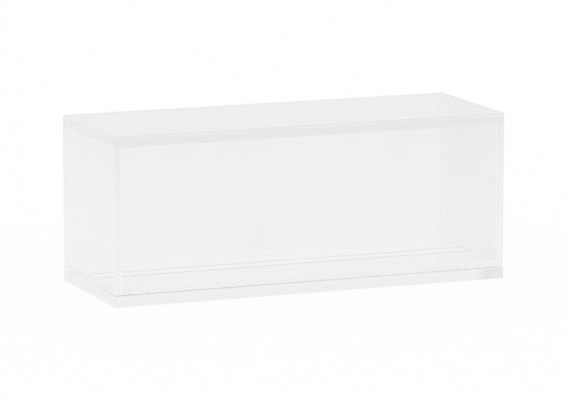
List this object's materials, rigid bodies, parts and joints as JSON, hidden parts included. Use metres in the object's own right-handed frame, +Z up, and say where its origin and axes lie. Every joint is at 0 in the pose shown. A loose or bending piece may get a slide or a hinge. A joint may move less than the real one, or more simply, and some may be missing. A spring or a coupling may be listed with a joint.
{
  "type": "model train display case",
  "caption": "Clear acrylic display case: a deep lift-off cover on a base plate whose raised deck has two wheel grooves along it.",
  "frame": {"origin": "middle of the base plate's underside, on the surface that the case stands on", "axes": "+X along the case, +Y from its front to its back, +Z up"},
  "size_m": [0.3, 0.11, 0.122],
  "materials": {
    "clear_top": "polished",
    "clear_walls": "polished",
    "clear_base": "polished",
    "clear_deck": "polished"
  },
  "bodies": {
    "base": {"base_plate": "clear_base", "deck": "clear_deck"},
    "cover": {"top_panel": "clear_top", "front_panel": "clear_walls", "back_panel": "clear_walls", "left_panel": "clear_walls", "right_panel": "clear_walls"}
  },
  "joints": [
    {"name": "cover_lift", "type": "slide", "parent": "base", "child": "cover", "axis": [0, 0, 1], "range_m": [0, 0.12]}
  ]
}
